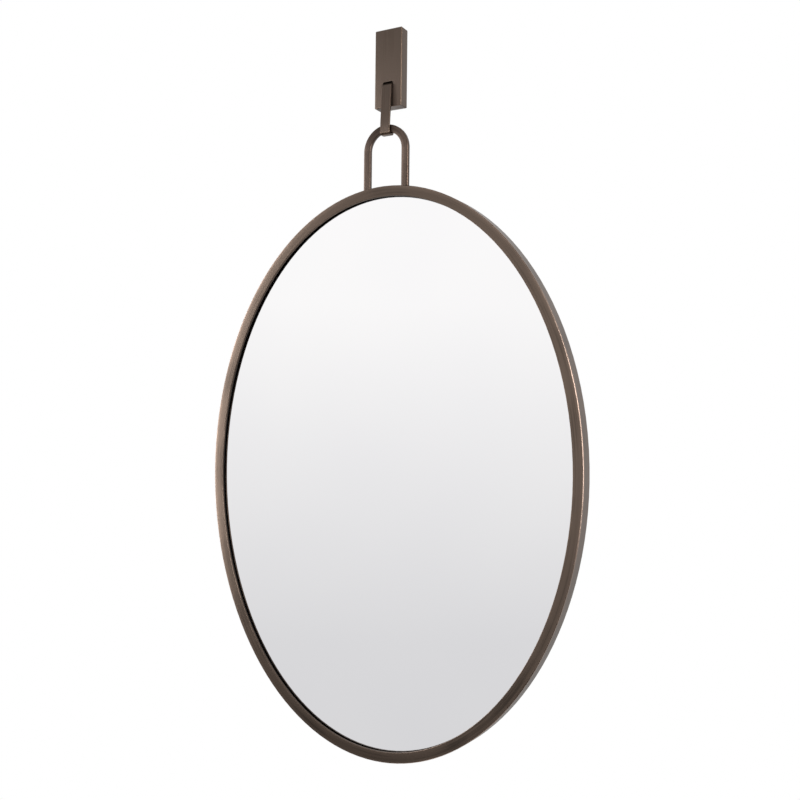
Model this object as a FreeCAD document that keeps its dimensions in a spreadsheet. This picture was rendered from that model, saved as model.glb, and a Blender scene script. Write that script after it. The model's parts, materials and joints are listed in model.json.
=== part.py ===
import FreeCAD, Part
import math
import os
import re

import Sketcher

# Oval mirror that hangs by a loop from a strap hook, and the wall block that holds the strap.
# X runs to the right, Y towards the wall and Z up. The origin lies on the wall, midway between
# the two fixing screws, so a place "off the wall" is a distance along -Y.

# Driving sizes in millimetres, counts and degrees
SIZES = {
    # Oval frame of steel angle: a flange that shows at the front and a hoop that runs to the back
    "frame_height": 762,
    "frame_width": 559,
    "frame_face": 14,
    "frame_depth": 22,
    "frame_wall": 3,
    "frame_round": 1.2,
    "flange_round": 0.6,
    "wall_gap": 1.5,
    # Loop of flat bar on top of the frame
    "loop_width": 68,
    "loop_bar": 10,
    "loop_depth": 6,
    "loop_setback": 3,
    "loop_rise": 84,
    "loop_round": 0.8,
    # Glass, tape and board inside the frame
    "tape_thick": 1.6,
    "tape_width": 7,
    "tape_setback": 1,
    "glass_thick": 4,
    "glass_gap": 0.5,
    "board_thick": 6,
    "board_gap": 1,
    # Tabs, screws and bumpers on the back
    "tab_count": 6,
    "tab_thick": 1.5,
    "tab_width": 18,
    "tab_reach": 26,
    "tab_screw_setback": 14,
    "screw_shank": 3.5,
    "screw_bite": 4.5,
    "screw_head": 7,
    "screw_head_top": 5,
    "screw_head_thick": 2,
    "bumper_base": 16,
    "bumper_tip": 12,
    "bumper_stop": 0.2,
    "bumper_setback": 45,
    "bumper_turn": 35,
    # Block on the wall
    "block_width": 41,
    "block_height": 107,
    "block_depth": 16,
    "block_wall": 2,
    "block_round": 0.8,
    # Channel-shaped plate under the block
    "plate_thick": 2,
    "plate_gap": 0.4,
    "plate_reach": 11,
    "plate_bend": 2.5,
    "hole_spacing": 78,
    "hole_dia": 5.5,
    "ear_thick": 2,
    "ear_gap": 0.4,
    "ear_half": 5,
    "grub_dia": 4,
    "grub_length": 6,
    "grub_sink": 0.2,
    "grub_key": 2,
    "grub_key_depth": 2,
    "grub_spread": 20,
    "grub_off_wall": 7,
    # Pin that carries the strap, and its clip
    "pin_dia": 4,
    "pin_gap": 0.05,
    "pin_off_wall": 8,
    "pin_drop": 26,
    "pin_head": 6.4,
    "pin_head_thick": 1.2,
    "pin_tail": 2.2,
    "clip_groove": 3,
    "clip_dia": 7,
    "clip_thick": 0.7,
    "clip_mouth": 2.4,
    # Strap with a rolled eye at the top and a hook at the foot
    "strap_width": 14,
    "strap_thick": 3,
    "strap_drop": 64,
    "strap_clear": 0.5,
    "strap_bend": 1,
    "knee_gap": 2,
    "hook_gap": 0.3,
    "hook_bend": 1,
    "hook_lip": 6,
    "slot_side_gap": 0.8,
    "slot_under_gap": 0.8,
    "slot_over_gap": 2,
    "slot_round": 2,
}

# Places worked out from the driving sizes. A name that ends in FRONT or BACK is a distance off
# the wall, and the others are heights or half widths.
FRAME_FRONT = "(wall_gap + frame_depth)"
FLANGE_BACK = f"({FRAME_FRONT} - frame_wall)"
GLASS_FRONT = f"({FLANGE_BACK} - tape_thick)"
GLASS_BACK = f"({GLASS_FRONT} - glass_thick)"
BOARD_BACK = f"({GLASS_BACK} - board_thick)"
TAB_BACK = f"({BOARD_BACK} - tab_thick)"
EYE_HOLE = "(pin_dia / 2 + pin_gap)"
LEG_UNDER = f"({EYE_HOLE} - pin_drop)"
LEG_OVER = f"({LEG_UNDER} + strap_thick)"
HOOK_FLOOR = "(-pin_drop - strap_drop)"
HOOK_FOOT = f"({HOOK_FLOOR} - strap_thick)"
LOOP_HOLE = "(loop_width / 2 - loop_bar)"
LOOP_CENTRE = f"({HOOK_FLOOR} + hook_gap - sqrt({LOOP_HOLE}^2 - strap_width^2 / 4))"
LOOP_TOP = f"({LOOP_CENTRE} + loop_width / 2)"
FRAME_TOP = f"({LOOP_TOP} - loop_rise)"
FRAME_CENTRE = f"({FRAME_TOP} - frame_height / 2)"
BEND_BACK = "(block_depth + strap_clear)"
BEND_FRONT = f"({BEND_BACK} + strap_thick)"
LOOP_FRONT = f"({FRAME_FRONT} - loop_setback)"
STRAP_BACK = f"({LOOP_FRONT} + hook_gap)"
STRAP_FRONT = f"({STRAP_BACK} + strap_thick)"
LIP_FRONT = f"({LOOP_FRONT} - loop_depth - hook_gap)"
LIP_BACK = f"({LIP_FRONT} - strap_thick)"
EAR_INSIDE = "(strap_width / 2 + ear_gap)"
EAR_OUTSIDE = f"({EAR_INSIDE} + ear_thick)"
CLIP_LEFT = f"-({EAR_OUTSIDE} + clip_thick)"
BLOCK_TOP = "(block_height / 2)"
CAVITY_TOP = f"({BLOCK_TOP} - block_wall)"

doc = FreeCAD.newDocument("oval_mirror")
sheet = doc.addObject("Spreadsheet::Sheet", "Sizes")
for row, (alias, number) in enumerate(SIZES.items(), start=1):
    sheet.set(f"A{row}", alias)
    sheet.set(f"B{row}", str(number))
    sheet.setAlias(f"B{row}", alias)
doc.recompute()

X_AXIS = FreeCAD.Vector(1, 0, 0)
Y_AXIS = FreeCAD.Vector(0, 1, 0)
# Turns that stand a flat oval up with its long axis along Z, lay a cylinder along X,
# and point a cylinder at the room
STAND_OVAL = FreeCAD.Rotation(FreeCAD.Vector(1, 1, 1), 240)
ALONG_X = FreeCAD.Rotation(Y_AXIS, 90)
TO_ROOM = FreeCAD.Rotation(X_AXIS, 90)
CLOSE = 1e-4


def sized(text):
    """Point each size named in an expression at its cell."""
    return re.sub(r"[a-z]+(?:_[a-z]+)+", r"Sizes.\g<0>", str(text))


def size(text):
    """Value of an expression in the sizes, in millimetres."""
    return float(sheet.evalExpression(sized(text)))


def bind(item, **expressions):
    """Tie an object's properties to expressions in the sizes."""
    for prop, text in expressions.items():
        item.setExpression(prop.replace("_dot_", "."), sized(text))


def place(item, x="0", y="0", z="0"):
    """Tie an object's place to expressions, keeping its turn."""
    bind(item, Placement_dot_Base_dot_x=x, Placement_dot_Base_dot_y=y, Placement_dot_Base_dot_z=z)


def new_body(label):
    """Empty body under its node's name."""
    body = doc.addObject("PartDesign::Body", label)
    body.Label = label
    return body


def new_sketch(body, name, role):
    """Empty sketch on one of the body's own origin planes."""
    sketch = body.newObject("Sketcher::SketchObject", name)
    plane = next(item for item in body.Origin.OriginFeatures if item.Role == role)
    sketch.AttachmentSupport = [(plane, "")]
    sketch.MapMode = "FlatFace"
    return sketch


def fix(sketch, kind, geometry, point, text):
    """Dimension one coordinate of a sketch point, or a radius, by an expression."""
    places = (geometry, point) if point else (geometry,)
    index = sketch.addConstraint(Sketcher.Constraint(kind, *places, size(text)))
    sketch.setExpression(f"Constraints[{index}]", sized(text))


def outline(body, name, role, corners, arcs=None):
    """Closed sketch through corners given as pairs of expressions.

    arcs maps a side's number to the height of its centre, for a side that is a half circle
    running over the top, from left to right (True) or back from right to left (False).
    """
    arcs = arcs or {}
    sketch = new_sketch(body, name, role)
    spots = [FreeCAD.Vector(size(across), size(up), 0) for across, up in corners]
    ends = []
    for side, start in enumerate(spots):
        stop = spots[(side + 1) % len(spots)]
        if side in arcs:
            circle = Part.Circle((start + stop) / 2, FreeCAD.Vector(0, 0, 1), start.distanceToPoint(stop) / 2)
            sketch.addGeometry(Part.ArcOfCircle(circle, 0, math.pi), False)
            ends.append((2, 1) if arcs[side][1] else (1, 2))
        else:
            sketch.addGeometry(Part.LineSegment(start, stop), False)
            ends.append((1, 2))
    for side in range(len(spots)):
        after = (side + 1) % len(spots)
        sketch.addConstraint(Sketcher.Constraint("Coincident", side, ends[side][1], after, ends[after][0]))
    for side, (across, up) in enumerate(corners):
        fix(sketch, "DistanceX", side, ends[side][0], across)
        fix(sketch, "DistanceY", side, ends[side][0], up)
        if side in arcs:
            fix(sketch, "DistanceY", side, 3, arcs[side][0])
    return sketch


def rounds(body, name, role, centres, diameter):
    """Sketch of equal circles at centres given as pairs of expressions."""
    sketch = new_sketch(body, name, role)
    for number, (across, up) in enumerate(centres):
        centre = FreeCAD.Vector(size(across), size(up), 0)
        radius = size(f"({diameter}) / 2")
        sketch.addGeometry(Part.Circle(centre, FreeCAD.Vector(0, 0, 1), radius), False)
        fix(sketch, "DistanceX", number, 3, across)
        fix(sketch, "DistanceY", number, 3, up)
        fix(sketch, "Radius", number, 0, f"({diameter}) / 2")
    return sketch


def pad(body, sketch, length, side="One side"):
    """Solid made from a sketch, one way along its normal or evenly both ways."""
    feature = body.newObject("PartDesign::Pad", sketch.Name + "_pad")
    feature.Profile = sketch
    feature.SideType = side
    bind(feature, Length=length)
    doc.recompute()
    return feature


def pocket(body, sketch, length=None, side="One side"):
    """Cut along the sketch's normal, to a depth or right through, checked to remove material."""
    before = body.Shape.Volume
    feature = body.newObject("PartDesign::Pocket", sketch.Name + "_cut")
    feature.Profile = sketch
    feature.SideType = side
    feature.Reversed = side == "One side"
    if length is None:
        feature.Type = "ThroughAll"
    else:
        bind(feature, Length=length)
    doc.recompute()
    if body.Shape.Volume > before - CLOSE:
        raise RuntimeError(f"{sketch.Name} cuts nothing")
    return feature


def lies_at(edge, **limits):
    """True where an edge lies wholly at the given coordinates, such as Y=-20."""
    box = edge.BoundBox
    for axis, value in limits.items():
        if abs(getattr(box, axis + "Min") - value) > CLOSE or abs(getattr(box, axis + "Max") - value) > CLOSE:
            return False
    return True


def edge_names(shape, *places):
    """Names of the edges that lie at any of the places, each a dict of coordinates."""
    chosen = []
    for number, edge in enumerate(shape.Edges, start=1):
        if any(lies_at(edge, **spot) for spot in places):
            chosen.append(f"Edge{number}")
    if not chosen:
        raise RuntimeError(f"no edge at {places}")
    return chosen


def soften(body, name, radius, *places):
    """Fillet a body's edges at the places."""
    base = body.Tip
    feature = body.newObject("PartDesign::Fillet", name)
    feature.Base = (base, edge_names(base.Shape, *places))
    bind(feature, Radius=radius)
    doc.recompute()
    return feature


def break_edges(body, name, width, *places):
    """Chamfer a body's edges at the places."""
    base = body.Tip
    feature = body.newObject("PartDesign::Chamfer", name)
    feature.Base = (base, edge_names(base.Shape, *places))
    bind(feature, Size=width)
    doc.recompute()
    return feature


def oval_curve(name, inset, off_wall):
    """Upright ellipse, inset from the frame's outer edge, at a distance off the wall."""
    curve = doc.addObject("Part::Ellipse", name)
    curve.Placement = FreeCAD.Placement(FreeCAD.Vector(), STAND_OVAL)
    bind(curve, MajorRadius=f"frame_height / 2 - ({inset})", MinorRadius=f"frame_width / 2 - ({inset})")
    place(curve, y=f"-({off_wall})", z=FRAME_CENTRE)
    return curve


def oval(name, inset, back, thick):
    """Oval plate of one thickness, from `back` off the wall to the room side."""
    plate = doc.addObject("Part::Extrusion", name)
    plate.Label = name
    plate.Base = oval_curve(name + "_curve", inset, back)
    plate.DirMode = "Custom"
    plate.Dir = -Y_AXIS
    plate.Solid = True
    bind(plate, LengthFwd=thick)
    return plate


def oval_loft(name, rings):
    """Oval solid through rings given as an inset and a distance off the wall, from the wall outwards."""
    curves = [oval_curve(f"{name}_ring_{number}", *ring) for number, ring in enumerate(rings, start=1)]
    solid = doc.addObject("Part::Loft", name)
    solid.Sections = curves
    solid.Solid = True
    solid.Ruled = True
    return solid


def cylinder(name, diameter, length, turn, x, y, z):
    """Cylinder laid by a turn, with its start at the given place."""
    item = doc.addObject("Part::Cylinder", name)
    item.Placement = FreeCAD.Placement(FreeCAD.Vector(), turn)
    bind(item, Radius=f"({diameter}) / 2", Height=length)
    place(item, x, y, z)
    return item


def cut(label, base, tool):
    """Base with the tool taken out of it."""
    item = doc.addObject("Part::Cut", label)
    item.Label = label
    item.Base = base
    item.Tool = tool
    return item


def joined(label, pieces):
    """Pieces made one solid."""
    item = doc.addObject("Part::MultiFuse", label)
    item.Label = label
    item.Shapes = pieces
    item.Refine = True
    return item


def group(label, pieces):
    """Separate solids kept in one node."""
    item = doc.addObject("Part::Compound", label)
    item.Label = label
    item.Links = pieces
    return item


def rim_spot(turn, setback):
    """Place on the hoop's inside at an angle round the oval, moved in along the hoop's normal.

    Returns the place's x and z, and the turn that points a piece's X axis at the hoop.
    """
    across = size("frame_width / 2 - frame_wall")
    up = size("frame_height / 2 - frame_wall")
    angle = math.radians(turn)
    normal = FreeCAD.Vector(math.cos(angle) / across, 0, math.sin(angle) / up).normalize()
    x = across * math.cos(angle) - normal.x * setback
    z = up * math.sin(angle) - normal.z * setback + size(FRAME_CENTRE)
    lean = FreeCAD.Rotation(X_AXIS, normal)
    return x, z, lean


def build_wall_plate():
    """Channel bent from flat steel, with two ears for the strap's pin and two fixing holes."""
    body = new_body("wall_plate")
    top = CAVITY_TOP
    foot = f"-({CAVITY_TOP} - 2 * plate_gap)"
    corners = [
        ("0", foot),
        ("-plate_reach", foot),
        ("-plate_reach", f"{foot} + plate_thick"),
        ("-plate_thick", f"{foot} + plate_thick"),
        ("-plate_thick", f"{top} - plate_thick"),
        ("-plate_reach", f"{top} - plate_thick"),
        ("-plate_reach", top),
        ("0", top),
    ]
    channel = outline(body, "channel", "YZ_Plane", corners)
    pad(body, channel, "block_width - 2 * block_wall - 2 * plate_gap", "Symmetric")
    soften(body, "channel_bends", "plate_bend", {"Y": 0, "Z": size(top)}, {"Y": 0, "Z": size(foot)})
    for hand, inside, outside in (("left", f"-{EAR_OUTSIDE}", f"-{EAR_INSIDE}"), ("right", EAR_INSIDE, EAR_OUTSIDE)):
        sides = [
            (inside, "-pin_drop - ear_half"),
            (outside, "-pin_drop - ear_half"),
            (outside, "-pin_drop + ear_half"),
            (inside, "-pin_drop + ear_half"),
        ]
        ear = outline(body, f"ear_{hand}", "XZ_Plane", sides)
        pad(body, ear, "pin_off_wall + ear_half")
    nose = size("-(pin_off_wall + ear_half)")
    crown = {"Y": nose, "Z": size("-pin_drop + ear_half")}
    chin = {"Y": nose, "Z": size("-pin_drop - ear_half")}
    soften(body, "ear_noses", "0.9 * ear_half", crown, chin)
    pin_hole = rounds(body, "pin_hole", "YZ_Plane", [("-pin_off_wall", "-pin_drop")], "pin_dia")
    pocket(body, pin_hole, "2 * (ear_thick + strap_width)", "Symmetric")
    fixings = [("0", "hole_spacing / 2"), ("0", "-hole_spacing / 2")]
    pocket(body, rounds(body, "fixing_holes", "XZ_Plane", fixings, "hole_dia"))
    grubs = [("grub_spread / 2", "-grub_off_wall"), ("-grub_spread / 2", "-grub_off_wall")]
    pocket(body, rounds(body, "grub_threads", "XY_Plane", grubs, "grub_dia"))
    return body


def box_sides(half_width, foot, top):
    """Corners of an upright rectangle centred on X."""
    return [(f"-({half_width})", foot), (half_width, foot), (half_width, top), (f"-({half_width})", top)]


def build_wall_block():
    """Hollow cover, open at the wall, with the strap's slot in its front."""
    body = new_body("wall_block")
    shell = outline(body, "shell", "XZ_Plane", box_sides("block_width / 2", f"-{BLOCK_TOP}", BLOCK_TOP))
    pad(body, shell, "block_depth")
    side = size("block_width / 2")
    top = size(BLOCK_TOP)
    uprights = [{"X": side, "Z": top}, {"X": -side, "Z": top}, {"X": side, "Z": -top}, {"X": -side, "Z": -top}]
    break_edges(body, "shell_edges", "block_round", {"Y": size("-block_depth")}, *uprights)
    inner = box_sides("block_width / 2 - block_wall", f"-{CAVITY_TOP}", CAVITY_TOP)
    pocket(body, outline(body, "cavity", "XZ_Plane", inner), "block_depth - block_wall")
    slot_side = "strap_width / 2 + slot_side_gap"
    slot_foot = f"{LEG_UNDER} - slot_under_gap"
    slot_top = f"{LEG_OVER} + slot_over_gap"
    pocket(body, outline(body, "strap_slot", "XZ_Plane", box_sides(slot_side, slot_foot, slot_top)))
    shoulders = [{"X": hand * size(slot_side), "Z": size(slot_top)} for hand in (-1, 1)]
    soften(body, "slot_shoulders", "slot_round", *shoulders)
    grubs = [("grub_spread / 2", "-grub_off_wall"), ("-grub_spread / 2", "-grub_off_wall")]
    pocket(body, rounds(body, "grub_holes", "XY_Plane", grubs, "grub_dia"))
    return body


def build_block_screws():
    """Two grub screws that go down through the cover's top into the plate."""
    screws = []
    for hand, across in (("left", "-grub_spread / 2"), ("right", "grub_spread / 2")):
        head = f"{BLOCK_TOP} - grub_sink"
        spot = (across, "-grub_off_wall")
        upright = FreeCAD.Rotation()
        rod = cylinder(f"grub_{hand}_rod", "grub_dia", "grub_length", upright, *spot, f"{head} - grub_length")
        key = doc.addObject("Part::Prism", f"grub_{hand}_key")
        key.Polygon = 6
        bind(key, Circumradius="grub_key / sqrt(3)", Height="grub_key_depth")
        place(key, *spot, f"{head} - grub_key_depth")
        screws.append(cut(f"grub_{hand}", rod, key))
    return group("block_screws", screws)


def build_strap_pin():
    """Headed pin through the ears, with a groove for its clip on the left."""
    spot = ("-pin_off_wall", "-pin_drop")
    left = f"-({EAR_OUTSIDE} + pin_tail)"
    shank = cylinder("pin_shank", "pin_dia", f"2 * {EAR_OUTSIDE} + pin_tail", ALONG_X, left, *spot)
    head = cylinder("pin_head_disc", "pin_head", "pin_head_thick", ALONG_X, EAR_OUTSIDE, *spot)
    whole = joined("pin_blank", [shank, head])
    band = cylinder("groove_outside", "pin_dia + clip_thick", "clip_thick", ALONG_X, CLIP_LEFT, *spot)
    core = cylinder("groove_inside", "clip_groove", "clip_thick", ALONG_X, CLIP_LEFT, *spot)
    return cut("strap_pin", whole, cut("pin_groove", band, core))


def build_pin_clip():
    """Open ring that snaps into the pin's groove against the ear."""
    spot = ("-pin_off_wall", "-pin_drop")
    disc = cylinder("clip_disc", "clip_dia", "clip_thick", ALONG_X, CLIP_LEFT, *spot)
    hole = cylinder("clip_hole", "clip_groove", "clip_thick", ALONG_X, CLIP_LEFT, *spot)
    mouth = doc.addObject("Part::Box", "clip_mouth_gap")
    bind(mouth, Length="clip_thick", Width="clip_mouth", Height="clip_dia")
    place(mouth, CLIP_LEFT, "-pin_off_wall - clip_mouth / 2", "-pin_drop - clip_dia")
    return cut("pin_clip", cut("clip_ring", disc, hole), mouth)


def build_hanging_strap():
    """Bent flat strap: rolled eye on the pin, leg out through the slot, slanted drop, hook with a lip."""
    body = new_body("hanging_strap")
    front, back = f"-{STRAP_FRONT}", f"-{STRAP_BACK}"
    lip_front, lip_back = f"-{LIP_FRONT}", f"-{LIP_BACK}"
    lip_top = f"{HOOK_FLOOR} + hook_lip"
    knee = f"{LOOP_TOP} + knee_gap"
    corners = [
        ("-pin_off_wall", LEG_OVER),
        (f"-{BEND_FRONT}", LEG_OVER),
        (front, knee),
        (front, HOOK_FOOT),
        (lip_back, HOOK_FOOT),
        (lip_back, lip_top),
        (lip_front, lip_top),
        (lip_front, HOOK_FLOOR),
        (back, HOOK_FLOOR),
        (back, knee),
        (f"-{BEND_BACK}", LEG_UNDER),
        ("-pin_off_wall", LEG_UNDER),
    ]
    pad(body, outline(body, "strap_side", "YZ_Plane", corners), "strap_width", "Symmetric")
    outer_bend = {"Y": -size(BEND_FRONT), "Z": size(LEG_OVER)}
    inner_bend = {"Y": -size(BEND_BACK), "Z": size(LEG_UNDER)}
    soften(body, "leg_bend_outside", "strap_bend + strap_thick", outer_bend)
    soften(body, "leg_bend_inside", "strap_bend", inner_bend)
    foot_corners = [{"Y": size(edge), "Z": size(HOOK_FOOT)} for edge in (front, lip_back)]
    floor_corners = [{"Y": size(edge), "Z": size(HOOK_FLOOR)} for edge in (back, lip_front)]
    soften(body, "hook_bend_outside", "hook_bend + strap_thick", *foot_corners)
    soften(body, "hook_bend_inside", "hook_bend", *floor_corners)
    spot = [("-pin_off_wall", "-pin_drop")]
    eye = rounds(body, "eye", "YZ_Plane", spot, f"2 * ({EYE_HOLE} + strap_thick)")
    pad(body, eye, "strap_width", "Symmetric")
    pocket(body, rounds(body, "eye_hole", "YZ_Plane", spot, f"2 * {EYE_HOLE}"), "strap_width", "Symmetric")
    return body


def build_oval_frame():
    """Angle-section hoop: full-depth oval, hollowed from the back, with the view opening in its flange."""
    eased = "(1 - sqrt(0.5))"
    outside = [
        ("0", "wall_gap"),
        ("0", f"{FRAME_FRONT} - frame_round"),
        (f"{eased} * frame_round", f"{FRAME_FRONT} - {eased} * frame_round"),
        ("frame_round", FRAME_FRONT),
    ]
    opening = [
        ("frame_face", f"{FLANGE_BACK} - frame_wall"),
        ("frame_face", f"{FRAME_FRONT} - flange_round"),
        ("frame_face - flange_round", FRAME_FRONT),
        ("frame_face - flange_round", f"{FRAME_FRONT} + frame_wall"),
    ]
    blank = oval_loft("frame_blank", outside)
    cavity = oval("frame_cavity", "frame_wall", "0", FLANGE_BACK)
    hollow = cut("frame_hollow", blank, cavity)
    return cut("oval_frame", hollow, oval_loft("frame_opening", opening))


def build_hanging_loop():
    """Arch of flat bar, set back from the frame's face, its feet cut to the frame's outside."""
    body = doc.addObject("PartDesign::Body", "loop_bar_body")
    half = "loop_width / 2"
    hole = LOOP_HOLE
    foot = f"{FRAME_TOP} - loop_bar"
    corners = [
        (f"-{half}", foot),
        (f"-{half}", LOOP_CENTRE),
        (half, LOOP_CENTRE),
        (half, foot),
        (hole, foot),
        (hole, LOOP_CENTRE),
        (f"-{hole}", LOOP_CENTRE),
        (f"-{hole}", foot),
    ]
    arcs = {1: (LOOP_CENTRE, True), 5: (LOOP_CENTRE, False)}
    arch = outline(body, "arch", "XZ_Plane", corners, arcs)
    arch.setExpression("AttachmentOffset.Base.z", sized(f"{LOOP_FRONT} - loop_depth"))
    pad(body, arch, "loop_depth")
    seat = oval("loop_seat", "0", "wall_gap", "frame_depth + loop_depth")
    square = cut("loop_square", body, seat)
    doc.recompute()
    faces = (size(f"-{LOOP_FRONT}"), size(f"loop_depth - {LOOP_FRONT}"))
    loop = doc.addObject("Part::Chamfer", "hanging_loop")
    loop.Label = "hanging_loop"
    loop.Base = square
    ease = size("loop_round")
    long_edges = []
    for number, edge in enumerate(square.Shape.Edges, start=1):
        on_face = any(lies_at(edge, Y=face) for face in faces)
        if on_face and edge.BoundBox.ZMax > size(FRAME_TOP):
            long_edges.append((number, ease, ease))
    loop.Edges = long_edges
    return loop


def build_glass_tape():
    """Foam tape between the flange and the glass."""
    outside = "frame_wall + glass_gap + tape_setback"
    band = oval("tape_outside", outside, GLASS_FRONT, "tape_thick")
    hole = oval("tape_inside", f"{outside} + tape_width", GLASS_FRONT, "tape_thick")
    return cut("glass_tape", band, hole)


def build_mirror_glass():
    """Flat oval of silvered glass."""
    return oval("mirror_glass", "frame_wall + glass_gap", GLASS_BACK, "glass_thick")


def tab_turns():
    """Angles of the tabs round the oval."""
    count = int(size("tab_count"))
    return [360 * (number + 0.5) / count for number in range(count)]


def screw_rod(name, turn, length):
    """Screw's shank at a tab, from the tab's back face into the board."""
    x, z, _ = rim_spot(turn, size("tab_screw_setback"))
    rod = doc.addObject("Part::Cylinder", name)
    bind(rod, Radius="screw_shank / 2", Height=length)
    spot = FreeCAD.Vector(x, -size(TAB_BACK), z)
    rod.Placement = FreeCAD.Placement(spot, TO_ROOM)
    return rod


def build_backing_board():
    """Board behind the glass, with a pilot hole for each screw."""
    length = "tab_thick + screw_bite"
    rods = [screw_rod(f"pilot_{number}", turn, length) for number, turn in enumerate(tab_turns(), start=1)]
    blank = oval("board_blank", "frame_wall + board_gap", BOARD_BACK, "board_thick")
    return cut("backing_board", blank, group("pilot_holes", rods))


def build_frame_tabs():
    """Steel tabs welded inside the hoop, lying on the board."""
    trim = oval("tab_trim", "frame_wall", "wall_gap", "frame_depth")
    tabs = []
    for number, turn in enumerate(tab_turns(), start=1):
        x, z, lean = rim_spot(turn, size("tab_reach"))
        blank = doc.addObject("Part::Box", f"tab_{number}_blank")
        bind(blank, Length="tab_reach + tab_width / 2", Width="tab_thick", Height="tab_width")
        corner = lean.multVec(FreeCAD.Vector(0, 0, -size("tab_width") / 2))
        spot = FreeCAD.Vector(x, -size(BOARD_BACK), z) + corner
        blank.Placement = FreeCAD.Placement(spot, lean)
        fitted = doc.addObject("Part::Common", f"tab_{number}_fitted")
        fitted.Base = blank
        fitted.Tool = trim
        hole = screw_rod(f"tab_{number}_hole", turn, "tab_thick")
        tabs.append(cut(f"tab_{number}", fitted, hole))
    return group("frame_tabs", tabs)


def build_tab_screws():
    """Screws through the tabs into the board."""
    screws = []
    for number, turn in enumerate(tab_turns(), start=1):
        rod = screw_rod(f"screw_{number}_rod", turn, "tab_thick + screw_bite")
        head = doc.addObject("Part::Cone", f"screw_{number}_head")
        bind(head, Radius1="screw_head_top / 2", Radius2="screw_head / 2", Height="screw_head_thick")
        head.Placement = rod.Placement
        place(head, f"{rod.Placement.Base.x}", f"screw_head_thick - {TAB_BACK}", f"{rod.Placement.Base.z}")
        screws.append(joined(f"screw_{number}", [head, rod]))
    return group("tab_screws", screws)


def build_wall_bumpers():
    """Soft bumpers low on the board that keep the mirror off the wall."""
    bumpers = []
    for hand, turn in (("left", size("-90 - bumper_turn")), ("right", size("-90 + bumper_turn"))):
        x, z, _ = rim_spot(turn, size("bumper_setback"))
        plug = doc.addObject("Part::Cone", f"bumper_{hand}")
        bind(plug, Radius1="bumper_tip / 2", Radius2="bumper_base / 2", Height=f"{BOARD_BACK} - bumper_stop")
        plug.Placement = FreeCAD.Placement(FreeCAD.Vector(x, -size("bumper_stop"), z), TO_ROOM)
        bumpers.append(plug)
    return group("wall_bumpers", bumpers)


def check_and_write(nodes):
    """Stop on any failed object, then write each node's solids to its own file."""
    doc.recompute()
    failed = [item.Name for item in doc.Objects if {"Invalid", "Error"} & set(item.State)]
    if failed:
        raise RuntimeError(f"failed objects: {failed}")
    for node in nodes:
        if node.Shape.isNull() or not node.Shape.isValid() or not node.Shape.Solids:
            raise RuntimeError(f"{node.Label} has no valid solid")
    os.makedirs("parts", exist_ok=True)
    for node in nodes:
        node.Shape.exportStep(f"parts/{node.Label}.step")
        box = node.Shape.BoundBox
        print(
            f"{node.Label}: {len(node.Shape.Solids)} solids, {node.Shape.Volume / 1000:.2f} cm3, "
            f"x {box.XMin:.2f} to {box.XMax:.2f}, y {box.YMin:.2f} to {box.YMax:.2f}, "
            f"z {box.ZMin:.2f} to {box.ZMax:.2f}"
        )


check_and_write(
    [
        build_wall_plate(),
        build_wall_block(),
        build_block_screws(),
        build_strap_pin(),
        build_pin_clip(),
        build_hanging_strap(),
        build_hanging_loop(),
        build_oval_frame(),
        build_glass_tape(),
        build_mirror_glass(),
        build_backing_board(),
        build_frame_tabs(),
        build_tab_screws(),
        build_wall_bumpers(),
    ]
)
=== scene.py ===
"""Oval hanging mirror: finishes, back fittings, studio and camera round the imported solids.

The row's frame is used as it is: X to the right, Y into the wall, Z up, in metres.
"""

from __future__ import annotations

import json
import logging
import math
from collections.abc import Callable, Sequence
from dataclasses import dataclass, field
from enum import Enum

import bpy
from mathutils import Matrix, Vector


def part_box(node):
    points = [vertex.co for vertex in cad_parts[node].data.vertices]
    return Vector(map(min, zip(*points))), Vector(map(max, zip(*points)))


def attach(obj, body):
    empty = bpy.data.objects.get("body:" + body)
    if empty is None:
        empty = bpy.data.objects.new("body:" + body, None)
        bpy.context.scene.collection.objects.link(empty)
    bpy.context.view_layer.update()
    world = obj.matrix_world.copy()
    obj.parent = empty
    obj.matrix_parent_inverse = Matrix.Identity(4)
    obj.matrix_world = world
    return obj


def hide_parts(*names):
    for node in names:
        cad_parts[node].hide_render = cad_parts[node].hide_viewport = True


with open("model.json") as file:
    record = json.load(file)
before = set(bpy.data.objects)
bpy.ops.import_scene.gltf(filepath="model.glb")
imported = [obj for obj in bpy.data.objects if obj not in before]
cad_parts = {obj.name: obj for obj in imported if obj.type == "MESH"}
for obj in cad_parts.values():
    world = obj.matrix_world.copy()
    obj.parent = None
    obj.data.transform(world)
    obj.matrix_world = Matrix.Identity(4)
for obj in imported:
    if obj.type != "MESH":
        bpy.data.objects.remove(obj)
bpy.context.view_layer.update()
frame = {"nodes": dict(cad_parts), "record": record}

LOG = logging.getLogger("oval_mirror")
MM = 0.001
MERGE_MM = 0.002
EDGE_MARK = "worn_and_highlit_edge"
# Least part of a face's normal along an axis, for the face to count as square to it.
SQUARE_ON = 0.9
# Up, tilted a little, so that a level face still has a direction across the grain.
NEAR_UP = (0.0, 0.02, 1.0)

Colour = tuple[float, float, float, float]
Point = tuple[float, float, float]
Stops = Sequence[tuple[float, Colour]]


class Body(Enum):
    """Moving bodies of the part."""

    BRACKET = "wall_bracket"
    STRAP = "strap"
    MIRROR = "mirror"


class Slot(Enum):
    """Material slots of the record."""

    BRONZE = "bronze_paint"
    ZINC = "zinc_steel"
    BLACK = "black_steel"
    SILVER = "mirror_glass"
    BOARD = "fibreboard"
    FOAM = "foam_tape"
    RUBBER = "bumper_rubber"


class Brush(Enum):
    """Way that the satin grain runs on a bronze piece."""

    HOOP = "round the oval"
    ARCH = "round the loop"
    UPRIGHT = "up and down"


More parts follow.
